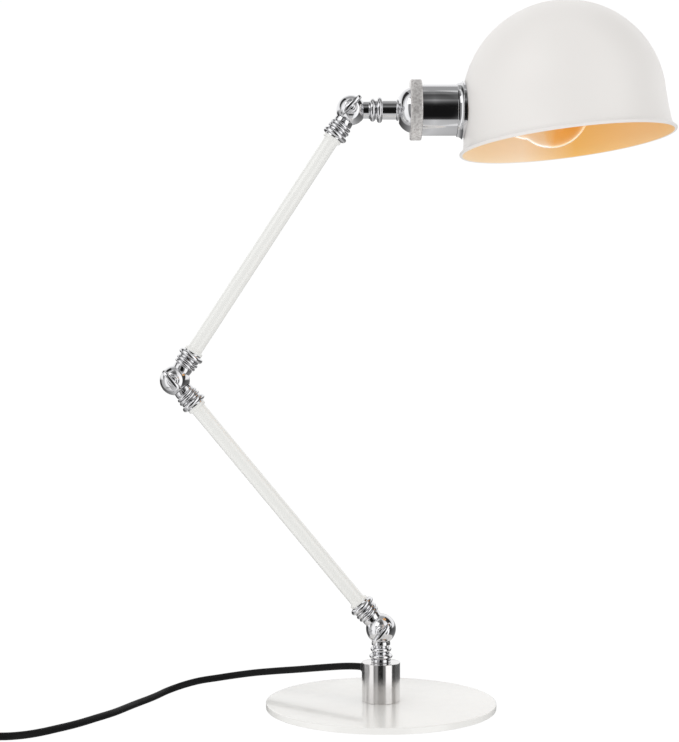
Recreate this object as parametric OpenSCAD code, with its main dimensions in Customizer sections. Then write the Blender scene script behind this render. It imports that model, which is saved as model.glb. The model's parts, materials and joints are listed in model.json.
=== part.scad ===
// Desk lamp with two lacquered tube arms, three clamped ball knuckles and a domed metal shade.
// Millimetres, +Z up. The origin is on the table, under the centre of the round base.
// +X points from the base towards the shade. Every knuckle turns about the Y direction.

/* [Base] */
// Diameter of the round base plate
base_d = 180; // [170:1:190]
// Thickness of the base plate
plate_t = 5; // [4.5:0.5:6]
// Thickness of the foam pad under the plate
pad_t = 1; // [0.8:0.1:1.5]
// Diameter of the chromed collar on the plate
collar_d = 30; // [29:0.5:32]
// Height of the chromed collar
collar_h = 30.4; // [30:0.1:32]

/* [Arms] */
// Distance between the two knuckles of one arm
arm_len = 253; // [240:1:265]
// Outside diameter of the arm tubes
tube_d = 11.8; // [11.6:0.1:12.4]
// Wall thickness of the arm tubes
tube_wall = 0.9; // [0.8:0.05:0.9]
// Lean of the lower arm away from upright, towards -X, in degrees
lower_lean = 39.7; // [30:0.1:50]
// Lean of the upper arm away from upright, towards +X, in degrees
upper_lean = 33.1; // [25:0.1:45]

/* [Knuckles] */
// Diameter of the ball that the two knuckle halves make
ball_d = 23.4; // [23:0.1:24]
// Diameter of the clamping screw
screw_d = 5; // [4.8:0.1:5.2]
// Span of the wing on each clamping screw
wing_span = 20.6; // [19:0.1:22]
// Directions of the lower, middle and upper wings above +X, in degrees
wing_turn = [48, -47, 43]; // [-90:1:90]

/* [Head] */
// Diameter of the polished lampholder shell
holder_d = 39.8; // [39.6:0.1:40]
// Diameter of the satin ring behind the shell
ring_d = 47.2; // [46:0.1:48]
// Distance from the upper knuckle to the middle of the bulb's globe
bulb_reach = 157.2; // [156:0.1:159]
// Diameter of the bulb's globe
bulb_d = 59; // [58:0.5:60]

/* [Shade] */
// Radius of the domed part of the shade, outside
shade_r = 79.2; // [79:0.1:80]
// Depth of the shade below the middle of its dome
skirt_h = 30.6; // [29:0.1:32]
// Thickness of the shade's sheet
sheet_t = 1; // [0.8:0.1:1.2]
// Lean of the shade's own axis away from upright, towards -X, in degrees
shade_tilt = 6.2; // [5:0.1:8]

/* [Power cord] */
// Diameter of the mains cord
cord_d = 5.5; // [5.5:0.1:5.6]

/* [Hidden] */
$fn = 96;
deck_z = pad_t + plate_t;
collar_top = deck_z + collar_h;
collar_r = collar_d / 2;
collar_bore_r = 10.4;
collar_roof = 2.4;
base_screw_ring = 12.7;
base_screw_angles = [30, 90, 210, 330];

// Post: heights below the middle of the lower ball
post_drop = 26.1;
spindle_r = 5;
lead_r = 2;
lead_bore_r = 3;
lead_low = 26.5;
lead_turn = [-5.37, 3.1, 28.8];
lead_start = [-8.49, 4.9, 30.25];
slack = 0.06;
lower_ball = [0, 0, collar_top + post_drop];
mid_ball = lower_ball + arm_len * [-sin(lower_lean), 0, cos(lower_lean)];
upper_ball = mid_ball + arm_len * [sin(upper_lean), 0, cos(upper_lean)];

// Knuckle
ball_r = ball_d / 2;
cavity_r = 8.5;
half_gap = 0.3;
turn_gap = 0.3;
screw_r = screw_d / 2;
seat_r = 5;
seat_h = 12.4;
ferrule = 26;

// Head: distances along the head axis from the upper ball
cap_from = 37.4;
cap_to = 46;
ring_to = 55;
shell_to = 101;
core_to = 100;
socket_floor = 73.5;
bulb_foot = 75.6;
glass_from = 101;
gallery_from = 82.6;
gallery_lip = 87.2;
gallery_to = 92;

// Shade: the middle of its dome, from the upper ball
dome_at = [166.3, 0, 5.1];
dome_centre = upper_ball + dome_at;

// Power cord: points on its centre line, chosen by hand
cord_r = cord_d / 2;
exit_turn = 150;
route = [
  [-9.1, 5.25, 30.9], [-15.6, 9, 30.9], [-22.5, 13, 30.5], [-32.5, 19, 29.1], [-49, 28, 26.2], [-66, 37, 23.1],
  [-84, 47, 19.9], [-102, 55, 16.8], [-118, 60, 13.8], [-134, 62, 11], [-148, 62, 8.8],
  [-161, 57.5, 6.2], [-173, 47, 3.7], [-182, 27, 2.8], [-194, 0, 2.8], [-204.5, -25, 2.8],
  [-216, -45, 2.8], [-227, -63, 2.8], [-239, -78, 2.8], [-251, -91, 2.8], [-264, -99, 2.8],
  [-278, -102, 3.2], [-292, -102, 5.6], [-306, -102, 7]
];
switch_len = 58;
switch_w = 26;
switch_h = 15;
switch_x = -306;
cord_y = -102;
cord_axis_z = 7;
coil_lift = 0.8;
turn_radii = [35.9, 30.3, 24.7, 27.5, 33.1, 30.3, 35.9];
turn_layers = [0, 0, 0, 1, 1, 2, 2];
coil_pitch = 5.6;
layer_rise = 4.9;
coil_at = [-402, cord_y + turn_radii[0], coil_lift];
tail_out = [[-364, -102, 7], [-376, -102, 5.6], [-389, -102, 3.8], [-402, -102, 3.55]];
tail_x = coil_at[0] - turn_radii[6];
tail_in = [
  [tail_x, -66, 13.3], [tail_x, -56, 12.4], [tail_x, -48, 9.8], [tail_x, -39, 6.6], [tail_x, -29, 4],
  [tail_x, -19, 2.9], [tail_x, -8, 2.8], [tail_x, 2, 3.4], [tail_x, 12, 5.2], [tail_x, 22, 6.7],
  [tail_x, 31.7, 7]
];
plug_y = 32;
plug_relief = 18;
plug_len = 34;
plug_w = 25;
plug_h = 14;
pin_len = 19;
pin_r = 2;
pin_gap = 18.6;

// ---------- placing ----------

// Stands a child on a ball, pointing along an arm that leans from +Z towards +X
module on_ball(ball, lean) {
  translate(ball) rotate([0, lean, 0]) children();
}

module along_lower() {
  on_ball(lower_ball, -lower_lean) children();
}

module along_upper() {
  on_ball(mid_ball, upper_lean) children();
}

module along_head() {
  on_ball(upper_ball, 90) children();
}

// The far end of an arm, looking back down it
module far_end() {
  translate([0, 0, arm_len]) mirror([0, 0, 1]) children();
}

// ---------- turned outlines: x is the radius, y the distance along the axis ----------

// A turned bar with rounded beads, each given as [place, outside radius, half width]
module turned(core_r, from, to, beads) {
  translate([0, from]) square([core_r, to - from]);
  for (b = beads) {
    translate([b[1] - b[2], b[0]]) circle(r = b[2]);
    translate([0, b[0] - 0.8 * b[2]]) square([b[1] - b[2], 1.6 * b[2]]);
  }
}

module band(inner_r, outer_r, from, to) {
  translate([inner_r, from]) square([outer_r - inner_r, to - from]);
}

module tube(inner_r, outer_r, from, to) {
  rotate_extrude() band(inner_r, outer_r, from, to);
}

module rod(r, from, to) {
  translate([0, 0, from]) cylinder(r = r, h = to - from);
}

// ---------- knuckles ----------

module quarter_disc(r, from) {
  intersection() {
    circle(r = r);
    translate([0, from]) square(r);
  }
}

// One half of the hollow ball, with its screw boss. The front half has a raised seat.
module half_ball_outline(front) {
  difference() {
    union() {
      difference() {
        quarter_disc(ball_r, half_gap);
        circle(r = cavity_r);
      }
      band(0, 4.3, half_gap, 10.4);
      if (front) band(0, seat_r, 9, seat_h);
    }
    band(-1, screw_r + slack, -1, front ? 20 : 9);
  }
}

// Half a ball on the neck that its child outline turns. side is 1 for the back, -1 for the front.
module knuckle_end(side, neck_r, bore_to) {
  difference() {
    union() {
      rotate([-90 * side, 0, 0]) rotate_extrude() half_ball_outline(side < 0);
      difference() {
        rotate_extrude() children();
        sphere(r = ball_r + turn_gap);
      }
      intersection() {
        rod(neck_r, 9, 13);
        translate([-10, side > 0 ? half_gap : -10 - half_gap, 8]) cube([20, 10, 6]);
      }
    }
    rod(lead_bore_r, 6, bore_to);
  }
}

// The beaded end fitting that holds a tube
module arm_fitting(side) {
  knuckle_end(side, 7.4, 41) {
    turned(7.1, 9, 26, [[14.9, 8.8, 1.5], [17.8, 9.2, 1.5], [23.1, 10.2, 2.1]]);
    band(0, 7.6, 9, 12.6);
    band(0, 8.3, 19.4, 20.9);
    band(0, tube_d / 2 - tube_wall - slack, 25, 40);
  }
}

module friction_washer() {
  rotate([-90, 0, 0]) tube(8.8, 11.2, -0.25, 0.25);
}

// Clamping screw with a flat oval wing, its shaft along Y
module wing_screw(turn) {
  rotate([0, -turn, 0]) {
    rotate([90, 0, 0]) rotate_extrude() {
      band(0, screw_r, -8.6, 14);
      turned(3.4, 12.6, 16.4, [[13.8, 4.6, 1.2]]);
    }
    translate([0, -21.6, -1.4]) linear_extrude(2.8) {
      for (end = [-1, 1]) translate([end * (wing_span / 2 - 6), 0]) circle(r = 6);
      square([wing_span - 12, 11.6], center = true);
    }
  }
}

// ---------- base ----------

module base_pad() {
  color("dimgray") tube(0, base_d / 2 - 6, 0, pad_t);
}

module at_base_screws() {
  for (a = base_screw_angles) rotate([0, 0, a]) translate([base_screw_ring, 0, 0]) children();
}

module base_plate() {
  color("white") difference() {
    rotate_extrude() {
      band(0, base_d / 2 - 0.8, pad_t, deck_z);
      band(0, base_d / 2, pad_t + 0.8, deck_z - 0.8);
      for (z = [pad_t + 0.8, deck_z - 0.8]) translate([base_d / 2 - 0.8, z]) circle(r = 0.8);
    }
    at_base_screws() rod(1.6, 0, deck_z + 1);
    at_base_screws() rod(3, 0, pad_t + 2);
  }
}

module base_screws() {
  color("silver") at_base_screws() rotate_extrude() {
    band(0, 2.8, pad_t + 0.2, pad_t + 1.95);
    band(0, 1.45, pad_t + 1, deck_z + 8);
  }
}

// Where the cord passes through the collar, looking outwards
module at_exit() {
  translate([0, 0, 30.9]) rotate([0, 0, exit_turn]) rotate([0, 90, 0]) children();
}

module base_collar() {
  color("silver") difference() {
    rotate_extrude() difference() {
      union() {
        band(0, collar_r, deck_z, collar_top - 0.4);
        band(0, collar_r - 0.4, deck_z, collar_top);
      }
      band(0, collar_bore_r, deck_z - 1, collar_top - collar_roof);
      band(0, spindle_r + slack, deck_z, collar_top + 1);
    }
    at_base_screws() rod(1.5, deck_z - 1, deck_z + 9);
    at_exit() {
      rod(3.6, 9, 20);
      rod(4.5, 7, 9.8);
    }
  }
}

// Tapered rubber sleeve that the cord leaves through
module cord_relief() {
  color("black") at_exit() rotate_extrude() difference() {
    polygon([[2, 7.7], [3.55, 7.7], [3.55, 15.1], [4.1, 15.1], [4.1, 16.1], [3.3, 17], [2, 17]]);
    band(0, 2.9, 7, 18);
  }
}

module relief_nut() {
  color("gray") at_exit() tube(3.62, 4.3, 7.4, 9.4);
}

// A round bar between two points, with one round end
module bar(from, to, r) {
  way = to - from;
  translate(from) {
    sphere(r = r + 0.2);
    rotate([0, acos(way[2] / norm(way)), atan2(way[1], way[0])]) cylinder(r = r, h = norm(way));
  }
}

// Sleeved wires from the end of the cord to the post
module base_lead() {
  color("ivory") {
    bar([0, 0, lead_low], lead_turn, lead_r - 0.5);
    bar(lead_turn, lead_start, lead_r - 0.7);
    rod(lead_r - 0.05, lead_low, lower_ball[2] - 14);
  }
}

module swivel_washer() {
  color("silver") tube(spindle_r + 0.1, 7.6, collar_top - collar_roof - 0.7, collar_top - collar_roof - 0.1);
}

module swivel_nut() {
  color("silver") difference() {
    translate([0, 0, collar_top - collar_roof - 2.9]) cylinder(r = 7.5, h = 2.1, $fn = 6);
    rod(spindle_r + 0.03, 0, collar_top);
  }
}

// ---------- post ----------

// Beaded stem on the collar, with the back half of the lower ball
module post_stem() {
  color("silver") translate(lower_ball) mirror([0, 0, 1]) knuckle_end(1, 7, 40) {
    turned(5.9, 9, 25, [[16, 8.1, 1.9], [21.4, 9, 1.8]]);
    band(0, 7.3, 9, 12.6);
    band(0, 6.7, 16, 22);
    band(0, 7.7, 23.4, post_drop - 0.1);
    band(0, spindle_r, 24, post_drop + collar_roof + 3.4);
  }
}

module lower_washer() {
  color("dimgray") translate(lower_ball) friction_washer();
}

module lower_wing_screw() {
  color("silver") translate(lower_ball) wing_screw(wing_turn[0]);
}

// ---------- arms ----------

// Lacquered tube with a ferrule at each end
module arm_tube() {
  color("white") rotate_extrude() difference() {
    union() {
      band(0, tube_d / 2, ferrule, arm_len - ferrule);
      band(0, 7.5, ferrule, ferrule + 2.4);
      band(0, 7.5, arm_len - ferrule - 2.4, arm_len - ferrule);
    }
    band(0, tube_d / 2 - tube_wall, 0, arm_len);
  }
}

module arm_lead() {
  color("ivory") rod(lead_r, 13, arm_len - 13);
}

module lower_arm_foot() {
  color("silver") along_lower() arm_fitting(-1);
}

module lower_arm_tube() {
  along_lower() arm_tube();
}

module lower_arm_top() {
  color("silver") along_lower() far_end() arm_fitting(1);
}

module lower_lead() {
  along_lower() arm_lead();
}

module mid_washer() {
  color("dimgray") translate(mid_ball) friction_washer();
}

module mid_wing_screw() {
  color("silver") translate(mid_ball) wing_screw(wing_turn[1]);
}

module upper_arm_foot() {
  color("silver") along_upper() arm_fitting(-1);
}

module upper_arm_tube() {
  along_upper() arm_tube();
}

module upper_arm_top() {
  color("silver") along_upper() far_end() arm_fitting(1);
}

module upper_lead() {
  along_upper() arm_lead();
}

module upper_washer() {
  color("dimgray") translate(upper_ball) friction_washer();
}

module upper_wing_screw() {
  color("silver") translate(upper_ball) wing_screw(wing_turn[2]);
}

// ---------- head ----------

// Beaded stem with the front half of the upper ball
module head_stem() {
  color("silver") along_head() knuckle_end(-1, 6.7, 43) {
    turned(7.4, 14, 36.6, [[16.9, 9, 2.1], [22.3, 10, 2.1], [36.4, 8.5, 0.9]]);
    band(0, 6.7, 9, 15);
    band(0, 4.9, 36, 42);
  }
}

module head_lead() {
  color("ivory") along_head() rod(lead_r, 13, 56);
}

// Domed back of the lampholder: a round shoulder cut from a ring-shaped curve
module cap_curve(r, from) {
  intersection() {
    translate([4, 50]) circle(r = r);
    band(0, 30, from, cap_to);
  }
}

module socket_cap() {
  color("silver") along_head() rotate_extrude() difference() {
    union() {
      cap_curve(14.1, cap_from);
      band(15.2, 17, cap_to - 1, 54);
    }
    cap_curve(12.6, cap_from + 1.4);
    band(0, 4.95, cap_from - 1, 60);
  }
}

module socket_ring() {
  color("gainsboro") along_head() rotate_extrude() difference() {
    union() {
      band(17.1, ring_d / 2 - 0.7, cap_to + 0.1, ring_to);
      band(17.1, ring_d / 2, cap_to + 0.6, ring_to - 0.3);
    }
    band(0, holder_d / 2 - 1.2, 51, 56);
  }
}

module socket_shell() {
  color("silver") along_head() rotate_extrude() difference() {
    band(holder_d / 2 - 1, holder_d / 2, ring_to + 0.1, shell_to);
    band(0, 5, 0, 10);
  }
}

module lampholder_core() {
  color("ivory") along_head() rotate_extrude() difference() {
    band(0, 18.6, ring_to + 1.5, core_to);
    band(0, 14.6, socket_floor, core_to + 1);
    band(0, 3.1, ring_to, socket_floor + 1);
  }
}

module screw_shell() {
  color("goldenrod") along_head() tube(13.6, 14.5, socket_floor + 0.1, core_to - 1.5);
}

module centre_contact() {
  color("goldenrod") along_head() rotate_extrude() {
    band(0, 2.8, socket_floor - 4, socket_floor + 0.6);
    band(0, 4.6, socket_floor + 0.1, bulb_foot - 0.1);
  }
}

// ---------- shade ----------

module at_dome() {
  translate(dome_centre) rotate([0, -shade_tilt, 0]) children();
}

function dome_arc(r, from, to) =
  let (step = from < to ? 5 : -5)
  [for (a = [from:step:to]) [r * cos(a), r * sin(a)]];

// Section through the sheet: the dome, the flared skirt and the rolled rim
module shade_outline() {
  bead_at = [shade_r + 4.3, -skirt_h];
  polygon(concat(
    dome_arc(shade_r, 90, 0),
    [[shade_r + 2, 4.6 - skirt_h]],
    [for (a = [90:-30:-150]) bead_at + 1.4 * [cos(a), sin(a)]],
    [[shade_r + 2 - sheet_t, 5 - skirt_h]],
    dome_arc(shade_r - sheet_t, 0, 90)
  ));
}

// Trumpet-shaped ring that carries the shade, shaped to the dome where they meet
module shade_gallery() {
  color("silver") difference() {
    along_head() rotate_extrude() difference() {
      union() {
        band(holder_d / 2 + 0.1, 22.8, gallery_from, gallery_lip);
        band(holder_d / 2 + 0.1, 21.4, gallery_lip - 1, gallery_to);
      }
      translate([26.5, gallery_from]) circle(r = 5.6);
    }
    translate(dome_centre) sphere(r = shade_r + 0.1);
    at_dome() rotate_extrude()
      polygon([[0, 0.5], [shade_r + 0.2, 0.5], [shade_r + 2.6, -30], [0, -30]]);
  }
}

module shade_ring() {
  color("gainsboro") along_head() tube(holder_d / 2 + 0.1, 24, 95, 99.5);
}

module shade() {
  color("white") difference() {
    at_dome() rotate_extrude() shade_outline();
    along_head() rod(holder_d / 2 + 0.3, 60, 110);
  }
}

// ---------- bulb ----------

function ease(s) = s * s * (3 - 2 * s);

// Outline of a pear-shaped bulb: an eased neck that runs into a round globe
function bulb_points(inset) =
  let (r = bulb_d / 2 - inset, join = 52, steps = 10,
       join_r = r * sin(join), join_at = bulb_reach - r * cos(join))
  concat(
    [for (i = [0:steps]) let (s = i / steps)
      [12.6 - inset + (join_r - 12.6 + inset) * (0.35 * s + 0.65 * ease(s)),
       glass_from + (join_at - glass_from) * s]],
    [for (a = [join + 8:8:180]) [r * sin(a), bulb_reach - r * cos(a)]],
    [[0, bulb_reach + r], [0, glass_from]]
  );

module bulb_glass() {
  color("lightyellow") along_head() rotate_extrude() difference() {
    polygon(bulb_points(0));
    translate([0, -0.01]) polygon(bulb_points(0.8));
  }
}

module bulb_stem() {
  color("orange") along_head() rotate_extrude() {
    band(0, 9, glass_from - 6, glass_from + 2);
    band(0, 3.5, glass_from, 133);
    band(0, 1.2, 132, 165);
  }
}

module bulb_cap() {
  color("silver") along_head() rotate_extrude() difference() {
    union() {
      band(0, 13.1, bulb_foot + 5, glass_from - 0.1);
      polygon([[0, bulb_foot + 1], [7, bulb_foot + 1], [12.6, bulb_foot + 5.5], [0, bulb_foot + 5.5]]);
      band(0, 4.8, bulb_foot, bulb_foot + 2);
    }
    band(0, 12.3, bulb_foot + 9, glass_from + 1);
  }
}

// ---------- power cord ----------

// A point on the smooth curve through a list of points, at a position counted in points
function on_curve(p, u) =
  let (n = len(p) - 1, i = min(floor(u), n - 1), t = u - i,
       a = p[max(i - 1, 0)], b = p[i], c = p[i + 1], d = p[min(i + 2, n)])
  0.5 * (2 * b + (c - a) * t + (2 * a - 5 * b + 4 * c - d) * t * t + (3 * b - 3 * c + d - a) * t * t * t);

function unit(v) = v / norm(v);

// Corners of one ring of the cord, square to the way the cord runs
function ring_points(at, way, r, sides) =
  let (side = unit(cross(way, [0, 0, 1])), up = cross(side, way))
  [for (k = [0:sides - 1]) at + r * (cos(360 * k / sides) * side + sin(360 * k / sides) * up)];

// A round cord swept along a list of points
module cord_tube(points, sides = 8) {
  n = len(points) - 1;
  rings = [for (i = [0:n])
    let (way = unit(on_curve(points, min(i + 0.05, n)) - on_curve(points, max(i - 0.05, 0))))
    each ring_points(points[i], way, cord_r, sides)];
  walls = [for (i = [0:n - 1]) for (k = [0:sides - 1])
    let (a = i * sides + k, b = i * sides + (k + 1) % sides)
    [a, b, b + sides, a + sides]];
  first = [for (k = [sides - 1:-1:0]) k];
  last = [for (k = [0:sides - 1]) n * sides + k];
  polyhedron(concat(rings), concat([first], walls, [last]), convexity = 8);
}

module power_cord() {
  color("black") cord_tube(route);
}

module switch_tail() {
  color("black") cord_tube(tail_out);
}

module plug_lead() {
  color("black") cord_tube(tail_in);
}

module cord_coil() {
  color("black") translate([coil_at[0], coil_at[1], 0])
    tube(turn_radii[2] - cord_r, turn_radii[0] + cord_r, coil_lift, coil_lift + 2 * layer_rise + cord_d);
}

// Flat tie around the coil, on the side away from the lamp
module cord_tie() {
  coil_top = coil_lift + 2 * layer_rise + cord_d;
  reach = turn_radii[0] + cord_r;
  color("dimgray") translate([coil_at[0], coil_at[1], 0]) rotate([0, 0, 60]) difference() {
    translate([turn_radii[2] - cord_r - 1.2, -3, 0]) cube([coil_pitch * 2 + cord_d + 3.6, 6, coil_top + 0.8]);
    translate([turn_radii[2] - cord_r - 0.6, -4, coil_lift - 0.05])
      cube([coil_pitch * 2 + cord_d + 2.4, 8, coil_top - coil_lift + 0.1]);
    translate([reach + 2, -4, -1]) cube([5, 8, 30]);
  }
}

// Outline of a rocker switch seen from above, its ends rounded
module switch_outline(inset) {
  r = switch_w / 2 - inset;
  for (end = [-1, 1]) translate([end * (switch_len / 2 - switch_w / 2), 0]) circle(r = r);
  square([switch_len - switch_w, 2 * r - 0.2], center = true);
}

module at_switch() {
  translate([switch_x - switch_len / 2, cord_y, 0]) children();
}

module switch_case() {
  color("black") at_switch() difference() {
    linear_extrude(switch_h / 2 - 0.1) switch_outline(0);
    translate([0, 0, 2]) linear_extrude(switch_h) switch_outline(2);
    translate([-40, 0, cord_axis_z]) rotate([0, 90, 0]) rod(cord_r + 0.2, 0, 80);
  }
}

module switch_lid() {
  color("black") at_switch() difference() {
    translate([0, 0, switch_h / 2]) linear_extrude(switch_h / 2 - 1) switch_outline(0);
    linear_extrude(switch_h - 3) switch_outline(2);
    translate([-40, 0, cord_axis_z]) rotate([0, 90, 0]) rod(cord_r + 0.2, 0, 80);
    translate([-10.5, -6.5, 0]) cube([21, 13, 30]);
  }
}

// Rocker that tips about a short pin across the switch
module switch_rocker() {
  color("dimgray") at_switch() {
    intersection() {
      translate([-10, -6, switch_h - 4.2]) cube([20, 12, 8]);
      translate([0, 0, switch_h - 22]) rotate([90, 0, 0]) rod(24, -8, 8);
    }
    translate([0, 0, switch_h - 5]) rotate([90, 0, 0]) rod(1.5, -6.3, 6.3);
  }
}

module plug_body() {
  color("black") translate([tail_x, plug_y, cord_axis_z]) rotate([-90, 0, 0]) {
    rotate_extrude() polygon([[0, 0], [3.4, 0], [5.4, plug_relief + 4], [0, plug_relief + 4]]);
    intersection() {
      translate([-plug_w / 2, -plug_h / 2, plug_relief]) cube([plug_w, plug_h, plug_len]);
      rotate([90, 0, 0]) translate([0, 0, -10]) linear_extrude(20) {
        translate([-plug_w / 2, plug_relief + 12]) square([plug_w, plug_len]);
        translate([0, plug_relief + 12]) circle(r = plug_w / 2 - 0.5);
      }
    }
  }
}

module plug_pins() {
  color("silver") for (side = [-1, 1]) {
    translate([tail_x + side * pin_gap / 2, plug_y + plug_relief + plug_len, cord_axis_z])
      rotate([-90, 0, 0]) rod(pin_r, 0, pin_len);
  }
}

base_pad();
base_plate();
base_screws();
base_collar();
cord_relief();
relief_nut();
base_lead();
swivel_washer();
swivel_nut();
post_stem();
lower_washer();
lower_wing_screw();
lower_arm_foot();
lower_arm_tube();
lower_arm_top();
lower_lead();
mid_washer();
mid_wing_screw();
upper_arm_foot();
upper_arm_tube();
upper_arm_top();
upper_lead();
upper_washer();
upper_wing_screw();
head_stem();
head_lead();
socket_cap();
socket_ring();
socket_shell();
lampholder_core();
screw_shell();
centre_contact();
shade_gallery();
shade_ring();
shade();
bulb_cap();
bulb_stem();
bulb_glass();
power_cord();
switch_case();
switch_lid();
switch_rocker();
switch_tail();
cord_coil();
cord_tie();
plug_lead();
plug_body();
plug_pins();
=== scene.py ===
"""Looks of a white desk lamp with chromed knuckles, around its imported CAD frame. Metres, +Z up."""
import json
import math

import bmesh
import bpy
from mathutils import Matrix, Vector


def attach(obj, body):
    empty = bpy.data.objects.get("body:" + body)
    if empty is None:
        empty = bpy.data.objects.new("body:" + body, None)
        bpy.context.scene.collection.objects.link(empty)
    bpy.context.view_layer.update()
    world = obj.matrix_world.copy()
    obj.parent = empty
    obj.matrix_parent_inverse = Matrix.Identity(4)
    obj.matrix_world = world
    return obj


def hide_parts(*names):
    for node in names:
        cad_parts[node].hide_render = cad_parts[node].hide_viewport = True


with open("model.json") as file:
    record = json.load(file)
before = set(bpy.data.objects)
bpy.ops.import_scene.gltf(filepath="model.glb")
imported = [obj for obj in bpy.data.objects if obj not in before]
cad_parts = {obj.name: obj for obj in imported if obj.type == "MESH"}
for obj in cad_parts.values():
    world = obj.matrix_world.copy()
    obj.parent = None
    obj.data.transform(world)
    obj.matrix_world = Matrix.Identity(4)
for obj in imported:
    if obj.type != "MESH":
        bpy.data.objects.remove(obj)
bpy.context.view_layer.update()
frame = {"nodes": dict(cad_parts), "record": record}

MM = 0.001


def add_object(name, data):
    thing = bpy.data.objects.new(name, data)
    bpy.context.collection.objects.link(thing)
    return thing


# ---------- sizes, as the CAD has them ----------

COLLAR_TOP = 36.4 * MM
ARM = 253 * MM
SHADE_TILT = math.radians(6.2)
LOWER_LEAN = math.radians(-39.7)
UPPER_LEAN = math.radians(33.1)
HEAD_LEAN = math.radians(90)
WING_TURNS = {"lower": 48, "mid": -47, "upper": 43}


def step_along(start, lean, distance):
    """The point at a distance from start along an arm that leans from +Z towards +X."""
    return start + distance * Vector((math.sin(lean), 0, math.cos(lean)))


LOWER_BALL = Vector((0, 0, COLLAR_TOP + 26.1 * MM))
MID_BALL = step_along(LOWER_BALL, LOWER_LEAN, ARM)
UPPER_BALL = step_along(MID_BALL, UPPER_LEAN, ARM)
DOME = UPPER_BALL + Vector((166.3 * MM, 0, 5.1 * MM))

# ---------- camera ----------

CAMERA_AT = (-0.0325, -1.141, 0.259)
camera = add_object("camera", bpy.data.cameras.new("camera"))
camera.location = CAMERA_AT
camera.rotation_euler = (math.radians(90), 0, 0)
camera.data.lens = 70.6
camera.data.shift_y = 0.0094
camera.data.clip_end = 50
bpy.context.scene.camera = camera
bpy.context.scene.view_settings.view_transform = "Standard"

# ---------- power cord ----------

CORD_R_MM = 2.75
CORD_R = CORD_R_MM * MM
ROUTE = [
    (-9.1, 5.25, 30.9), (-15.6, 9, 30.9), (-22.5, 13, 30.5), (-32.5, 19, 29.1), (-49, 28, 26.2), (-66, 37, 23.1),
    (-84, 47, 19.9), (-102, 55, 16.8), (-118, 60, 13.8), (-134, 62, 11), (-148, 62, 8.8),
    (-161, 57.5, 6.2), (-173, 47, 3.7), (-182, 27, 2.8), (-194, 0, 2.8), (-204.5, -25, 2.8),
    (-216, -45, 2.8), (-227, -63, 2.8), (-239, -78, 2.8), (-251, -91, 2.8), (-264, -99, 2.8),
    (-278, -102, 3.2), (-292, -102, 5.6), (-306, -102, 7),
]
TAIL_OUT = [(-364, -102, 7), (-376, -102, 5.6), (-389, -102, 3.8)]
COIL_AT = (-402, -66.1, 0.8)
TURN_RADII = [35.9, 30.3, 24.7, 27.5, 33.1, 30.3, 35.9]
TURN_LAYERS = [0, 0, 0, 1, 1, 2, 2]
LAYER_RISE = 4.9
COIL_TURNS = 6.25
COIL_START = -90
TURN_POINTS = 32
SHIFT_FROM = 0.7
TAIL_X = COIL_AT[0] - TURN_RADII[-1]
TAIL_IN = [
    (TAIL_X, -56, 12.4), (TAIL_X, -48, 9.8), (TAIL_X, -39, 6.6), (TAIL_X, -29, 4),
    (TAIL_X, -19, 2.9), (TAIL_X, -8, 2.8), (TAIL_X, 2, 3.4), (TAIL_X, 12, 5.2), (TAIL_X, 22, 6.7),
    (TAIL_X, 34, 7),
]


def ease(s):
    return s * s * (3 - 2 * s)


def coil_points():
    """Turns beside and on each other; each turn shifts to the next over its last part."""
    points = []
    for k in range(int(COIL_TURNS * TURN_POINTS) + 1):
        turn, part = divmod(k / TURN_POINTS, 1)
        turn = int(turn)
        after = min(turn + 1, len(TURN_RADII) - 1)
        shift = ease(max(0, (part - SHIFT_FROM) / (1 - SHIFT_FROM)))
        radius = TURN_RADII[turn] + shift * (TURN_RADII[after] - TURN_RADII[turn])
        layer = TURN_LAYERS[turn] + shift * (TURN_LAYERS[after] - TURN_LAYERS[turn])
        angle = math.radians(COIL_START - 360 * part)
        points.append((
            COIL_AT[0] + radius * math.cos(angle),
            COIL_AT[1] + radius * math.sin(angle),
            COIL_AT[2] + CORD_R_MM + layer * LAYER_RISE,
        ))
    return points


def smooth_path(points, steps=4):
    """Points on a smooth curve that runs through all the points given in millimetres."""
    knots = [Vector(p) * MM for p in points]
    last = len(knots) - 1
    path = []
    for i in range(last):
        a, b, c, d = knots[max(i - 1, 0)], knots[i], knots[i + 1], knots[min(i + 2, last)]
        for s in range(steps):
            t = s / steps
            path.append(0.5 * (
                2 * b + (c - a) * t + (2 * a - 5 * b + 4 * c - d) * t * t
                + (3 * b - 3 * c + d - a) * t ** 3
            ))
    path.append(knots[-1])
    return path


def make_cord():
    data = bpy.data.curves.new("mains_cord", "CURVE")
    data.dimensions = "3D"
    data.bevel_depth = CORD_R
    data.bevel_resolution = 6
    data.use_fill_caps = True
    path = smooth_path(ROUTE + TAIL_OUT + coil_points() + TAIL_IN)
    spline = data.splines.new("POLY")
    spline.points.add(len(path) - 1)
    for point, at in zip(spline.points, path):
        point.co = (*at, 1)
    spline.use_smooth = True
    return add_object("mains_cord", data)


cord = make_cord()

# ---------- materials ----------

BUMP_DEPTH = 0.0002
LINING_REACH = 0.08
# From the upper ball, where the glass starts to turn warm and where it is fully so
GLASS_TINT = (154 * MM, 158 * MM)


def srgb(r, g, b):
    """A colour as seen, 0 to 255, as the linear colour that shaders take."""
    def channel(c):
        c /= 255
        return c / 12.92 if c <= 0.04045 else ((c + 0.055) / 1.055) ** 2.4
    return (channel(r), channel(g), channel(b), 1)


def shader_of(material):
    return material.node_tree.nodes["Principled BSDF"]


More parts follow.
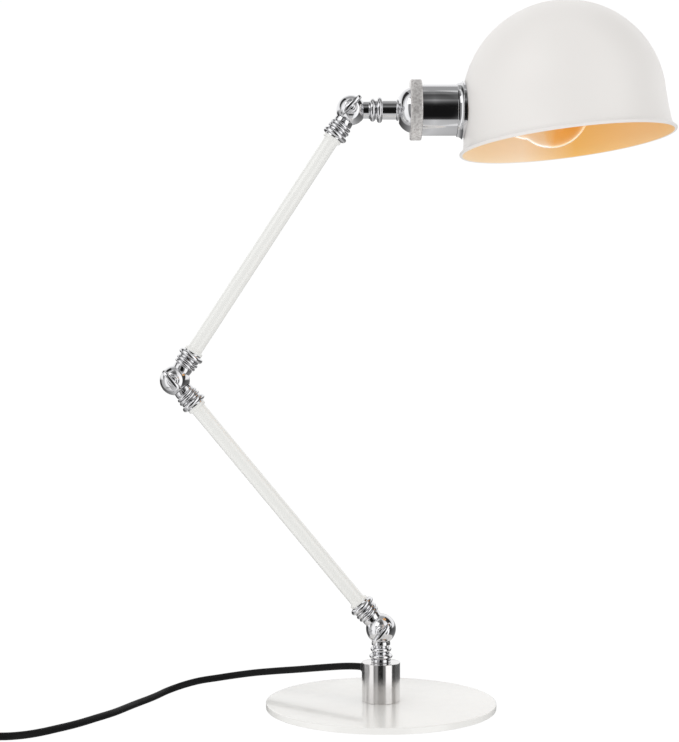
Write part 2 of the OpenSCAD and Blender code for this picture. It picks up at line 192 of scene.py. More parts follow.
def new_material(name, base, roughness, metallic=0.0, **sockets):
    material = bpy.data.materials.new(name)
    material.use_nodes = True
    shader = shader_of(material)
    shader.inputs["Base Color"].default_value = base
    shader.inputs["Roughness"].default_value = roughness
    shader.inputs["Metallic"].default_value = metallic
    for socket, value in sockets.items():
        shader.inputs[socket.replace("_", " ")].default_value = value
    return material


def noise(material, scale, detail=2.0, stretch=(1, 1, 1)):
    """A noise texture in the piece's own space."""
    nodes, links = material.node_tree.nodes, material.node_tree.links
    place = nodes.new("ShaderNodeTexCoord")
    mapping = nodes.new("ShaderNodeMapping")
    mapping.inputs["Scale"].default_value = stretch
    texture = nodes.new("ShaderNodeTexNoise")
    texture.inputs["Scale"].default_value = scale
    texture.inputs["Detail"].default_value = detail
    links.new(place.outputs["Object"], mapping.inputs["Vector"])
    links.new(mapping.outputs["Vector"], texture.inputs["Vector"])
    return texture


def add_bump(material, texture, strength):
    nodes, links = material.node_tree.nodes, material.node_tree.links
    bump = nodes.new("ShaderNodeBump")
    bump.inputs["Strength"].default_value = strength
    bump.inputs["Distance"].default_value = BUMP_DEPTH
    links.new(texture.outputs["Fac"], bump.inputs["Height"])
    links.new(bump.outputs["Normal"], shader_of(material).inputs["Normal"])


def vary(material, texture, socket, low, high):
    """Varies a socket, a number or a colour, between two values with a texture."""
    nodes, links = material.node_tree.nodes, material.node_tree.links
    ramp = nodes.new("ShaderNodeValToRGB")
    for element, value, at in zip(ramp.color_ramp.elements, (low, high), (0.3, 0.7)):
        element.color = value if isinstance(value, tuple) else (value, value, value, 1)
        element.position = at
    links.new(texture.outputs["Fac"], ramp.inputs["Fac"])
    links.new(ramp.outputs["Color"], shader_of(material).inputs[socket])


def span_along_x(material, low, high):
    """Rises from 0 to 1 along X, between two places in the piece's own space."""
    nodes, links = material.node_tree.nodes, material.node_tree.links
    place = nodes.new("ShaderNodeTexCoord")
    split = nodes.new("ShaderNodeSeparateXYZ")
    links.new(place.outputs["Object"], split.inputs["Vector"])
    span = nodes.new("ShaderNodeMapRange")
    span.inputs["From Min"].default_value = low
    span.inputs["From Max"].default_value = high
    links.new(split.outputs["X"], span.inputs["Value"])
    return span.outputs["Result"]


def gloss_lacquer(name, base):
    material = new_material(name, base, 0.2, Coat_Weight=0.25, Coat_Roughness=0.06)
    add_bump(material, noise(material, 140, 1), 0.02)
    vary(material, noise(material, 60, 4), "Roughness", 0.18, 0.26)
    return material


def satin_lacquer():
    material = new_material("satin_lacquer", srgb(236, 233, 230), 0.42, Coat_Weight=0.12, Coat_Roughness=0.3)
    add_bump(material, noise(material, 900, 3), 0.08)
    vary(material, noise(material, 45, 5), "Roughness", 0.38, 0.48)
    return material


def painted_light_lining():
    """The inside of the shade, with the bulb's warm light painted into it: painted light that is paler near the
    bulb and deeper beyond it, and a faint painted glow.
    """
    material = new_material("painted_light_lining", srgb(238, 200, 150), 0.5)
    nodes, links = material.node_tree.nodes, material.node_tree.links
    ramp = nodes.new("ShaderNodeValToRGB")
    elements = ramp.color_ramp.elements
    elements[0].position, elements[0].color = 0.14, srgb(236, 212, 176)
    elements[1].position, elements[1].color = 0.96, srgb(226, 187, 134)
    elements.new(0.36).color = srgb(236, 215, 186)
    elements.new(0.64).color = srgb(231, 184, 104)
    across = span_along_x(material, DOME.x - LINING_REACH, DOME.x + LINING_REACH)
    links.new(across, ramp.inputs["Fac"])
    shader = shader_of(material)
    links.new(ramp.outputs["Color"], shader.inputs["Base Color"])
    # painted glow: the painted light colour is also given off faintly as light
    links.new(ramp.outputs["Color"], shader.inputs["Emission Color"])
    shader.inputs["Emission Strength"].default_value = 0.2
    add_bump(material, noise(material, 700), 0.05)
    return material


def chrome():
    material = new_material("chrome", srgb(226, 226, 228), 0.05, 1.0)
    vary(material, noise(material, 90, 4), "Roughness", 0.03, 0.08)
    add_bump(material, noise(material, 160), 0.03)
    return material


def turned_chrome():
    """Chrome over fine turning marks, which smear reflections along the axis."""
    material = new_material("turned_chrome", srgb(222, 220, 219), 0.15, 1.0, Anisotropic=0.85,
                            Anisotropic_Rotation=0.25)
    nodes, links = material.node_tree.nodes, material.node_tree.links
    tangent = nodes.new("ShaderNodeTangent")
    tangent.direction_type = "RADIAL"
    tangent.axis = "Z"
    links.new(tangent.outputs["Tangent"], shader_of(material).inputs["Tangent"])
    vary(material, noise(material, 90, 4), "Roughness", 0.13, 0.17)
    return material


def satin_metal():
    material = new_material("satin_metal", srgb(222, 218, 215), 0.34, 0.7)
    vary(material, noise(material, 260, 5, (8, 1, 1)), "Roughness", 0.26, 0.46)
    vary(material, noise(material, 500, 6), "Base Color", srgb(196, 192, 190), srgb(250, 248, 246))
    add_bump(material, noise(material, 900, 2, (6, 1, 1)), 0.1)
    return material


def brushed(name, base, roughness=0.3):
    material = new_material(name, base, roughness, 1.0)
    vary(material, noise(material, 300, 3, (1, 1, 6)), "Roughness", roughness - 0.08, roughness + 0.1)
    return material


def plastic(name, base, roughness, grain=0.15, scale=1500):
    material = new_material(name, base, roughness)
    add_bump(material, noise(material, scale, 3), grain)
    vary(material, noise(material, 80, 4), "Roughness", roughness - 0.05, roughness + 0.07)
    return material


def clear_glass():
    """Clear bulb glass with a painted highlight where it is seen edge-on, and warmer beyond the filament."""
    material = new_material("clear_glass", srgb(255, 250, 242), 0.01, Transmission_Weight=1.0, IOR=1.35)
    nodes, links = material.node_tree.nodes, material.node_tree.links
    shader = shader_of(material)
    tint = nodes.new("ShaderNodeValToRGB")
    tint.color_ramp.elements[0].color = srgb(255, 253, 250)
    tint.color_ramp.elements[1].color = srgb(255, 236, 192)
    across = span_along_x(material, *(UPPER_BALL.x + place for place in GLASS_TINT))
    links.new(across, tint.inputs["Fac"])
    links.new(tint.outputs["Color"], shader.inputs["Base Color"])
    # painted highlight: the glass gives off light where it is seen edge-on
    facing = nodes.new("ShaderNodeLayerWeight")
    edge = nodes.new("ShaderNodeMath")
    edge.operation = "POWER"
    edge.inputs[1].default_value = 7
    links.new(facing.outputs["Facing"], edge.inputs[0])
    links.new(edge.outputs["Value"], shader.inputs["Emission Strength"])
    shader.inputs["Emission Color"].default_value = srgb(255, 252, 246)
    vary(material, noise(material, 30), "Roughness", 0.0, 0.02)
    return material


def glowing():
    material = new_material("glowing_filament", srgb(255, 190, 90), 0.4)
    shader = shader_of(material)
    shader.inputs["Emission Color"].default_value = srgb(255, 178, 80)
    shader.inputs["Emission Strength"].default_value = 1.2
    vary(material, noise(material, 400), "Roughness", 0.35, 0.5)
    return material


LACQUER = gloss_lacquer("gloss_lacquer", srgb(244, 243, 240))
TUBE_LACQUER = gloss_lacquer("tube_lacquer", srgb(238, 238, 235))
SATIN = satin_lacquer()
LINING = painted_light_lining()
CHROME = chrome()
TURNED = turned_chrome()
SATIN_METAL = satin_metal()
STEEL = brushed("plated_steel", srgb(180, 180, 180))
BRASS = brushed("brass", srgb(214, 176, 98), 0.25)
PIN_METAL = brushed("pin_metal", srgb(214, 212, 206), 0.22)
CAP_METAL = brushed("cap_metal", srgb(208, 208, 206), 0.28)
CORD_PVC = plastic("cord_pvc", srgb(12, 12, 13), 0.55, 0.2, 900)
shader_of(CORD_PVC).inputs["Specular IOR Level"].default_value = 0.2
RUBBER = plastic("rubber", srgb(34, 34, 34), 0.6, 0.25)
BLACK = plastic("black_plastic", srgb(36, 36, 37), 0.4)
ROCKER = plastic("rocker_plastic", srgb(58, 58, 60), 0.22, 0.03)
TIE = plastic("tie_plastic", srgb(110, 110, 114), 0.4)
FOAM = plastic("foam", srgb(40, 40, 40), 0.9, 0.6, 600)
FIBRE = plastic("fibre", srgb(46, 44, 42), 0.7, 0.4)
SLEEVE = plastic("sleeve", srgb(228, 222, 205), 0.5)
CERAMIC = plastic("ceramic", srgb(236, 231, 222), 0.25, 0.05)
GLASS = clear_glass()
GLOW = glowing()

CAD_LOOKS = {
    "foam_pad": FOAM, "fibre": FIBRE, "lead_sleeve": SLEEVE, "holder_core": CERAMIC,
    "brass_contact": BRASS, "plain_steel": STEEL, "bulb_metal": CAP_METAL, "satin_nickel": SATIN_METAL,
    "chrome_plate": CHROME, "white_lacquer": LACQUER, "shade_lacquer": SATIN, "pin_metal": PIN_METAL,
    "switch_black": BLACK, "rocker_grey": ROCKER, "tie_grey": TIE, "black_rubber": RUBBER,
    "cord_sheath": CORD_PVC, "bulb_clear": GLASS, "bulb_inner": GLOW,
}
SLOT_OF = {s["node"]: s["material_slot"] for s in frame["record"]["subparts"]}
for node_name, node in frame["nodes"].items():
    node.data.materials.clear()
    node.data.materials.append(CAD_LOOKS[SLOT_OF[node_name]])

# ---------- mesh tools ----------

SHARP_ANGLE = math.radians(38)


def finish_piece(piece, body, slot, *stands_for):
    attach(piece, body)
    if stands_for:
        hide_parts(*stands_for)
    return piece


def object_from(name, bm, materials, at=None):
    """An object from a bmesh, smooth except at its sharp edges, with its points moved by a matrix."""
    bmesh.ops.remove_doubles(bm, verts=bm.verts, dist=1e-7)
    bmesh.ops.recalc_face_normals(bm, faces=bm.faces)
    mesh = bpy.data.meshes.new(name)
    bm.to_mesh(mesh)
    bm.free()
    for material in materials:
        mesh.materials.append(material)
    if at is not None:
        mesh.transform(at)
        if at.determinant() < 0:
            mesh.flip_normals()
    mesh.shade_smooth()
    mesh.set_sharp_from_angle(angle=SHARP_ANGLE)
    return add_object(name, mesh)


def add_part(bm, part, at):
    """Moves a separate bmesh by a matrix and adds it to another."""
    part.transform(at)
    scratch = bpy.data.meshes.new("scratch")
    part.to_mesh(scratch)
    part.free()
    bm.from_mesh(scratch)
    bpy.data.meshes.remove(scratch)


def skin(bm, one, two):
    """Faces between two closed rings of equal count."""
    for k in range(len(one)):
        n = (k + 1) % len(one)
        bm.faces.new((one[k], one[n], two[n], two[k]))


def soften(points, radius, steps=3):
    """Rounds the corners of an open outline, given in millimetres."""
    out = [points[0]]
    for a, b, c in zip(points, points[1:], points[2:]):
        a, b, c = Vector(a), Vector(b), Vector(c)
        reach = min(radius, (a - b).length / 2.2, (c - b).length / 2.2)
        if reach < 0.02:
            out.append(tuple(b))
            continue
        start, end = b + (a - b).normalized() * reach, b + (c - b).normalized() * reach
        for k in range(steps + 1):
            t = k / steps
            out.append(tuple(start * (1 - t) ** 2 + b * 2 * t * (1 - t) + end * t * t))
    out.append(points[-1])
    return out


def bead(place, radius, half, steps=10):
    """Outline points of a rounded bead on a turned bar."""
    return [
        (radius - half + half * math.cos(a), place + half * math.sin(a))
        for a in (math.radians(-90 + 180 * k / steps) for k in range(steps + 1))
    ]


def arc(centre, radius, start, end, steps=12):
    return [
        (centre[0] + radius * math.cos(a), centre[1] + radius * math.sin(a))
        for a in (math.radians(start + (end - start) * k / steps) for k in range(steps + 1))
    ]


def turn_outline(bm, outline, sides=96, closed=False, sector=None, shape=None, faces_of=None):
    """Turns an outline of (radius, place) in millimetres about +Z. sector gives its start and end in degrees.
    shape(radius, place, angle) may move a point; faces_of(step) gives the material of each band."""
    start, end = sector or (0, 360)
    whole = sector is None
    count = sides if whole else sides + 1
    rings = []
    for k in range(count):
        angle = math.radians(start + (end - start) * k / sides)
        ring = []
        for radius, place in outline:
            if shape:
                radius, place = shape(radius, place, angle)
            ring.append(bm.verts.new((
                radius * MM * math.cos(angle), radius * MM * math.sin(angle), place * MM)))
        rings.append(ring)
    steps = len(outline) if closed else len(outline) - 1
    for k in range(sides):
        one, two = rings[k], rings[(k + 1) % count]
        for j in range(steps):
            nxt = (j + 1) % len(outline)
            corners = []
            for vert in (one[j], two[j], two[nxt], one[nxt]):
                if all((vert.co - c.co).length > 1e-9 for c in corners):
                    corners.append(vert)
            if len(corners) > 2:
                face = bm.faces.new(corners)
                face.material_index = faces_of(j) if faces_of else 0
    if not whole:
        for ring in (rings[0], rings[-1]):
            bm.faces.new(ring)


def lean_matrix(at, lean):
    """Moves a piece made along +Z to a place, leaning from +Z towards +X."""
    return Matrix.Translation(at) @ Matrix.Rotation(lean, 4, "Y")


def turned_piece(name, outline, material, at, sides=96, **options):
    bm = bmesh.new()
    turn_outline(bm, outline, sides, **options)
    return object_from(name, bm, [material], at)


def far_end(at):
    """The far end of an arm, looking back down it."""
    return at @ Matrix.Translation((0, 0, ARM)) @ Matrix.Diagonal((1, 1, -1, 1))


# ---------- knuckles ----------

BALL_R = 11.7
BORE_R = 3
NECK_CUT_R = 12
SEAT = [(5, 10.6), (5, 12.0), (4.6, 12.4), (2.56, 12.4)]


def ball_half_outline(front):
    """Section of half the ball about the screw, from the outside of the dome to the flat face."""
    seat_edge = math.degrees(math.acos(SEAT[0][0] / BALL_R))
    dome = arc((0, 0), BALL_R, 1.5, seat_edge if front else 90, 24)
    if front:
        outside = [*dome[:-1], *soften([dome[-1], *SEAT], 0.15)]
    else:
        outside = [*dome, (0, 9), (2.56, 9)]
    return [*outside, (2.56, 0.3), (4.3, 0.3), (4.3, 7.2), (8.4, 0.9), (8.6, 0.3), (11.5, 0.3)]


def add_ball_half(bm, side):
    """side is 1 for the back half and -1 for the front half."""
    part = bmesh.new()
    turn_outline(part, ball_half_outline(side < 0), 96, closed=True)
    add_part(bm, part, Matrix.Rotation(math.radians(-90 * side), 4, "X"))


def neck_start(neck_r, steps=6):
    """The hollow end of a neck, clear of the other half of the ball."""
    low, high = math.degrees(math.asin(BORE_R / NECK_CUT_R)), math.degrees(math.asin(neck_r / NECK_CUT_R))
    return [
        (NECK_CUT_R * math.sin(a), NECK_CUT_R * math.cos(a))
        for a in (math.radians(low + (high - low) * k / steps) for k in range(steps + 1))
    ]


def knuckle_piece(name, side, neck_r, outline, at):
    """Half a ball on its turned neck."""
    bm = bmesh.new()
    add_ball_half(bm, side)
    turn_outline(bm, [*neck_start(neck_r), *outline, (BORE_R, outline[-1][1])], 96, closed=True)
    sector = (1.5, 178.5) if side > 0 else (181.5, 358.5)
    web_r = neck_r - 0.05
    turn_outline(bm, [(BORE_R, 9.2), (web_r, 9.2), (web_r, 12.6), (BORE_R, 12.6)], 48, closed=True, sector=sector)
    return object_from(name, bm, [CHROME], at)


ARM_FITTING = [
    *soften([(7.6, 11.2), (7.6, 12.8), (7.1, 13.3)], 0.3),
    *bead(14.9, 8.8, 1.45), (7.3, 16.35), *bead(17.9, 9.2, 1.4),
    *soften([(7.5, 19.35), (8.3, 19.5), (8.3, 20.8), (7.4, 20.9)], 0.3),
    *bead(23.1, 10.2, 2.1, 14), (7.3, 25.3), (7.3, 26), (4.9, 26), (4.9, 40),
]
POST_FITTING = [
    *soften([(7.3, 11.2), (7.3, 12.4), (6.8, 12.9), (5.9, 13.2)], 0.4),
    *bead(16, 8.1, 1.9, 12), (6.7, 18.2), (6.7, 19.2), *bead(21.4, 9, 1.8, 12),
    *soften([(6.9, 23.3), (7.7, 23.5), (7.7, 26), (5, 26), (5, 31.9)], 0.2),
]
HEAD_FITTING = [
    *soften([(6.7, 11.2), (6.7, 14), (7.2, 14.6)], 0.3),
    *bead(16.9, 9.0, 2.1, 12), (7.5, 19.2), (7.5, 20), *bead(22.3, 10, 2.1, 14),
    *soften([(7.4, 24.6), (7.4, 35.3)], 0.2), *bead(36.4, 8.5, 0.9, 8), (4.9, 37.4), (4.9, 42),
]


WING_SHAFT = [
    (0, -8.6), (2.5, -8.6), (2.5, 12.5),
    *soften([(4.6, 12.6), (4.6, 14.6), (3.2, 15.4), (2.9, 16.8), (0, 17.4)], 0.6, 4),
]
WING_HALF_LENGTH, WING_HALF_WIDTH, WING_OFF = 10.3, 6.2, 21.5
WING_RINGS = [(1.3, -1.05), (0.9, -1.4), (0.3, -1.3), (0, -0.8), (0, 0.8), (0.3, 1.3), (0.9, 1.4), (1.3, 1.05)]


def wing_screw(name, turn, at):
    """Clamping screw with a flat oval wing that is a little thicker at its root."""
    bm = bmesh.new()
    turn_outline(bm, WING_SHAFT, 64)
    bm.transform(Matrix.Rotation(math.radians(90), 4, "X"))
    ring_count, centre_y = 72, -WING_OFF * MM
    rings = []
    for inset, height in WING_RINGS:
        ring = []
        for k in range(ring_count):
            a = 2 * math.pi * k / ring_count
            c, s = math.cos(a), math.sin(a)
            x = math.copysign(abs(c) ** 0.82, c) * (WING_HALF_LENGTH - inset)
            y = math.copysign(abs(s) ** 0.9, s) * (WING_HALF_WIDTH - inset)
            ring.append(bm.verts.new((x * MM, centre_y + y * MM, height * MM)))
        rings.append(ring)
    for one, two in zip(rings, rings[1:]):
        skin(bm, one, two)
    for ring, level in ((rings[0], -0.85), (rings[-1], 0.85)):
        inner = [bm.verts.new((v.co.x * 0.5, centre_y + (v.co.y - centre_y) * 0.5, level * MM)) for v in ring]
        skin(bm, ring, inner)
        bm.faces.new(inner)
    return object_from(name, bm, [CHROME],
                       Matrix.Translation(at) @ Matrix.Rotation(math.radians(-turn), 4, "Y"))


LOWER = lean_matrix(LOWER_BALL, LOWER_LEAN)
UPPER = lean_matrix(MID_BALL, UPPER_LEAN)
HEAD = lean_matrix(UPPER_BALL, HEAD_LEAN)
POST = Matrix.Translation(LOWER_BALL) @ Matrix.Diagonal((1, 1, -1, 1))

KNUCKLE_PIECES = [
    ("post_stem_turned", 1, 7, POST_FITTING, POST, "post", "post_stem"),
    ("lower_arm_foot_turned", -1, 7.4, ARM_FITTING, LOWER, "lower_arm", "lower_arm_foot"),
    ("lower_arm_top_turned", 1, 7.4, ARM_FITTING, far_end(LOWER), "lower_arm", "lower_arm_top"),
    ("upper_arm_foot_turned", -1, 7.4, ARM_FITTING, UPPER, "upper_arm", "upper_arm_foot"),
    ("upper_arm_top_turned", 1, 7.4, ARM_FITTING, far_end(UPPER), "upper_arm", "upper_arm_top"),
    ("head_stem_turned", -1, 6.7, HEAD_FITTING, HEAD, "head", "head_stem"),
]
for name, side, neck_r, outline, at, body, node_name in KNUCKLE_PIECES:
    finish_piece(knuckle_piece(name, side, neck_r, outline, at), body, "chrome_plate", node_name)

for key, ball in (("lower", LOWER_BALL), ("mid", MID_BALL), ("upper", UPPER_BALL)):
    finish_piece(wing_screw(f"{key}_wing", WING_TURNS[key], ball), f"{key}_wing", "chrome_plate",
                 f"{key}_wing_screw")

# ---------- arms ----------

TUBE_OUTLINE = soften([
    (5, 26), (7.3, 26), (7.5, 26.3), (7.5, 28.1), (6.2, 28.7), *[(5.9, 29.2 + 4.054 * k) for k in range(49)],
    (6.2, 224.3), (7.5, 224.9), (7.5, 226.7), (7.3, 227), *[(5, 227 - 4.02 * k) for k in range(50)],
], 0.25)
for key, at in (("lower", LOWER), ("upper", UPPER)):
    tube = turned_piece(f"{key}_tube_lacquered", TUBE_OUTLINE, TUBE_LACQUER, at, closed=True)
    finish_piece(tube, f"{key}_arm", "white_lacquer", f"{key}_arm_tube")

# ---------- base ----------

plate = turned_piece("base_plate_lacquered", [
    (0, 1), (89.2, 1), *arc((89.2, 1.8), 0.8, -90, 0, 6), *arc((89.2, 5.2), 0.8, 0, 90, 6), (0, 6),
], LACQUER, Matrix.Identity(4), 192)
finish_piece(plate, "base", "white_lacquer", "base_plate")


def cut(piece, cutter):
    """Takes one mesh out of another and deletes the cutter."""
    boolean = piece.modifiers.new("cut", "BOOLEAN")
    boolean.operation = "DIFFERENCE"
    boolean.object = cutter
    boolean.solver = "EXACT"
    bpy.context.view_layer.update()
    evaluated = piece.evaluated_get(bpy.context.evaluated_depsgraph_get())
    mesh = bpy.data.meshes.new_from_object(evaluated)
    piece.modifiers.clear()
    old = piece.data
    piece.data = mesh
    bpy.data.meshes.remove(old)
    bpy.data.objects.remove(cutter)
    piece.data.set_sharp_from_angle(angle=SHARP_ANGLE)


EXIT_HEIGHT = 30.9
EXIT_TURN = 150
EXIT = (Matrix.Translation((0, 0, EXIT_HEIGHT * MM)) @ Matrix.Rotation(math.radians(EXIT_TURN), 4, "Z")
        @ Matrix.Rotation(math.radians(90), 4, "Y"))
collar = turned_piece("collar_polished", [
    (14.7, 6), (15, 6.3), *soften([(15, 20), (15, 36.4), (5.06, 36.4), (5.06, 34), (10.4, 34), (10.4, 6)], 0.35),
], TURNED, Matrix.Identity(4), 144, closed=True)
cut(collar, turned_piece("cutter", [(0, 9), (3.6, 9), (3.6, 20), (0, 20)], CHROME, EXIT, 48))
finish_piece(collar, "base", "chrome_plate", "base_collar")

relief = turned_piece("relief_sleeve", [
    (2.8, 10), (3.5, 10), (3.5, 15.05), *soften([(4.1, 15.05), (4.1, 16.1), (3.3, 17), (2.8, 17)], 0.3),
], RUBBER, EXIT, 48, closed=True)
finish_piece(relief, "base", "black_rubber", "cord_relief")

# ---------- head ----------

cap = turned_piece("socket_cap_polished", [
    (4.95, 37.6), *soften([(9.6, 37.4), (10.3, 37.5)], 0.2), *arc((4, 50), 14.1, -63, -16.5, 18), (17.4, 46),
    (17, 46), (17, 54), (15.2, 54), (15.2, 46), *arc((4, 50), 12.6, -20, -64, 12), (4.95, 38.8),
], CHROME, HEAD, 128, closed=True)
finish_piece(cap, "head", "chrome_plate", "socket_cap")

KNURLS = 132
KNURL_DEPTH = 0.2


def knurl(radius, place, angle):
    """Fine straight knurling on the outside of the satin ring."""
    if radius > 23.2 and 46.7 < place < 54.4:
        radius -= KNURL_DEPTH / 2 * (1 + math.cos(KNURLS * angle))
    return radius, place


ring = turned_piece("socket_ring_knurled", [
    (17.1, 46.1), (22.7, 46.1), (23.1, 46.3), (23.4, 46.7), (23.6, 46.9), (23.6, 50.5), (23.6, 54.2),
    (23.45, 54.6), (23.1, 55), (19, 55), (18.8, 51), (17.1, 51),
], SATIN_METAL, HEAD, KNURLS * 6, closed=True, shape=knurl)
finish_piece(ring, "head", "satin_nickel", "socket_ring")

shell = turned_piece("socket_shell_polished", soften([
    (18.9, 55.1), (19.9, 55.1), (19.9, 70), (19.9, 101), (18.9, 101),
], 0.3), CHROME, HEAD, 144, closed=True)
finish_piece(shell, "head", "chrome_plate", "socket_shell")

SHADE_R = 79.2
GALLERY_TO = 92
DOME_IN_HEAD = HEAD.inverted() @ DOME / MM


def meet_dome(radius, place, angle):
    """Stops the flared lip where it reaches the outside of the shade."""
    if place > 88:
        x, y = radius * math.cos(angle), radius * math.sin(angle)
        off = (x - DOME_IN_HEAD.x) ** 2 + (y - DOME_IN_HEAD.y) ** 2
        below = max(0, (DOME_IN_HEAD.x - x) * -0.06)
        touch = DOME_IN_HEAD.z - math.sqrt((SHADE_R + 0.15) ** 2 - off) - below
        place = touch - (GALLERY_TO - place) * 0.3
    return radius, place


gallery = turned_piece("shade_gallery_flared", [
    (20.0, 82.6), (20.6, 82.6), (20.9, 82.9), (21.0, 84), (21.3, 85), (21.75, 85.85), (22.3, 86.45),
    (22.7, 86.75), (22.8, 86.9), (22.8, 87.1), (22.7, 87.2), (21.4, 87.2), (21.4, GALLERY_TO), (20.0, GALLERY_TO),
], CHROME, HEAD, 144, closed=True, shape=meet_dome)
finish_piece(gallery, "head", "chrome_plate", "shade_gallery")

inner_ring = turned_piece("shade_ring_turned", soften([
    (20, 95), (24, 95), (24, 99.5), (20, 99.5),
], 0.4), SATIN_METAL, HEAD, 96, closed=True)
finish_piece(inner_ring, "head", "satin_nickel", "shade_ring")

# ---------- shade ----------

SHADE = Matrix.Translation(DOME) @ Matrix.Rotation(-SHADE_TILT, 4, "Y")
OUTER = [*arc((0, 0), SHADE_R, 90, 0, 40), (79.45, -6), (80.0, -14), (80.9, -23), (81.6, -26.6), (82.6, -28.6)]
RIM = arc((83.5, -30.6), 1.4, 95, -150, 12)
INNER = [(81.4, -29.4), (80.6, -26.8), (79.9, -23), (79.0, -14), (78.45, -6), *arc((0, 0), SHADE_R - 1, 0, 90, 40)]


def make_shade():
    outline = OUTER + RIM + INNER
    inside_from = len(OUTER) + len(RIM) - 2
    bm = bmesh.new()
    turn_outline(bm, outline, 192, faces_of=lambda step: 1 if step >= inside_from else 0)
    piece = object_from("shade_spun", bm, [SATIN, LINING])
    hole = turned_piece("cutter", [(0, 60), (20.2, 60), (20.2, 110), (0, 110)], LINING,
                        SHADE.inverted() @ HEAD, 96)
    cut(piece, hole)
    piece.data.transform(SHADE)
    return piece


shade = make_shade()
finish_piece(shade, "head", "shade_lacquer", "shade")

# ---------- bulb ----------


GLOBE_R = 29.5
GLOBE_AT = 157.2
BULB_NECK_R = 12.6


def bulb_outline(inset):
    """A pear shape: an eased neck that runs into a round globe."""
    radius, join, start = GLOBE_R - inset, math.radians(52), 101
    join_r, join_at = radius * math.sin(join), GLOBE_AT - radius * math.cos(join)
    neck = []
    for k in range(20):
        s = k / 20
        neck.append((BULB_NECK_R - inset + (join_r - BULB_NECK_R + inset) * (0.35 * s + 0.65 * ease(s)),
                     start + (join_at - start) * s))
    globe = [(radius * math.sin(a), GLOBE_AT - radius * math.cos(a))
             for a in (join + (math.pi - join) * k / 40 for k in range(41))]
    return neck + globe


glass = turned_piece("bulb_blown", bulb_outline(0) + bulb_outline(0.7)[::-1], GLASS, HEAD, 96, closed=True)
finish_piece(glass, "head", "bulb_clear", "bulb_glass")

THREAD_PITCH = 3.62
THREAD_DEPTH = 0.55


def cap_thread(radius, place, angle):
    """The rolled round thread of a standard bulb cap."""
    if radius > 12.5 and 82 < place < 99:
        radius -= THREAD_DEPTH * (1 - math.cos(2 * math.pi * place / THREAD_PITCH - angle)) / 2
    return radius, place


bulb_cap = turned_piece("bulb_cap_rolled", [
    (0, 75.6), (4.6, 75.6), (4.8, 76.4), (7, 76.7), (12.6, 81), (13.1, 81.6),
    *[(13.1, 82 + 0.3 * k) for k in range(57)], (13.0, 100.4), (12.4, 100.9), (0, 100.9),
], CAP_METAL, HEAD, 72, shape=cap_thread)
finish_piece(bulb_cap, "head", "bulb_metal", "bulb_cap")


STICK_OFF = 6.5


def make_bulb_inside():
    """Glass mount with upright glowing filament sticks round it."""
    bm = bmesh.new()
    turn_outline(bm, [(0, 95), (9, 95), (9, 102), (4, 106), (3.2, 118), (3.6, 131), (2.2, 134), (0, 134)], 48)
    piece = object_from("bulb_inside", bm, [GLASS, GLOW])
    sticks = bmesh.new()
    sticks.from_mesh(piece.data)
    for k in range(4):
        stick = bmesh.new()
        turn_outline(stick, [(0, 122), (0.7, 122.3), (0.7, 153), (0, 153.3)], 16,
                     faces_of=lambda step: 1)
        add_part(sticks, stick, Matrix.Rotation(math.radians(45 + 90 * k), 4, "Z")
                 @ Matrix.Translation((STICK_OFF * MM, 0, 0)))
    sticks.to_mesh(piece.data)
    sticks.free()
    piece.data.transform(HEAD)
    return piece


finish_piece(make_bulb_inside(), "head", "bulb_inner", "bulb_stem")

# ---------- cord, switch and plug ----------


def stadium(half_length, half_width, count=72):
    """A long outline with round ends."""
    straight = half_length - half_width
    points = []
    for k in range(count):
        a = 2 * math.pi * (k + 0.5) / count
        c, s = math.cos(a), math.sin(a)
        points.append((math.copysign(straight, c) + half_width * c, half_width * s))
    return points


def squircle(half_w, half_h, power, count=64):
    """A rounded oblong, squarer as power falls."""
    points = []
    for k in range(count):
        c, s = math.cos(2 * math.pi * k / count), math.sin(2 * math.pi * k / count)
        points.append((math.copysign(abs(c) ** power, c) * half_w, math.copysign(abs(s) ** power, s) * half_h))
    return points


def stack(bm, layers):
    """Skins a pile of outlines of equal count, each given as (outline, height) in millimetres, and caps it."""
    rings = [[bm.verts.new((x * MM, y * MM, z * MM)) for x, y in outline] for outline, z in layers]
    for one, two in zip(rings, rings[1:]):
        skin(bm, one, two)
    bm.faces.new(rings[0])
    bm.faces.new(rings[-1])


ON_CORD = 7
SWITCH_AT = Matrix.Translation((-335 * MM, -102 * MM, 0))
CABLE_SLEEVE = [(2.7, 26), (4.6, 26), *[
    point for k in range(4) for point in ((4.5 - 0.3 * k, 29.2 + 2 * k), (3.9 - 0.25 * k, 29.5 + 2 * k),
                                          (3.9 - 0.25 * k, 30.5 + 2 * k), (4.4 - 0.3 * k, 30.8 + 2 * k))
], (3.1, 37.6), (2.7, 37.8)]


def make_switch_case():
    bm = bmesh.new()
    stack(bm, [(stadium(29 - i, 13 - i), z) for i, z in (
        (1.6, 0), (0.9, 0.25), (0.3, 0.8), (0, 1.6), (0, 6.8), (0.12, 7.05), (0.45, 7.2), (0.45, 7.45))])
    for way in (-90, 90):
        sleeve = bmesh.new()
        turn_outline(sleeve, CABLE_SLEEVE, 40, closed=True)
        add_part(bm, sleeve, Matrix.Translation((0, 0, ON_CORD * MM))
                 @ Matrix.Rotation(math.radians(way), 4, "Y"))
    return object_from("switch_case_moulded", bm, [BLACK], SWITCH_AT)


def block(name, half_x, half_y, low, high, material, at):
    bm = bmesh.new()
    stack(bm, [([(half_x, half_y), (-half_x, half_y), (-half_x, -half_y), (half_x, -half_y)], z)
               for z in (low, high)])
    return object_from(name, bm, [material], at)


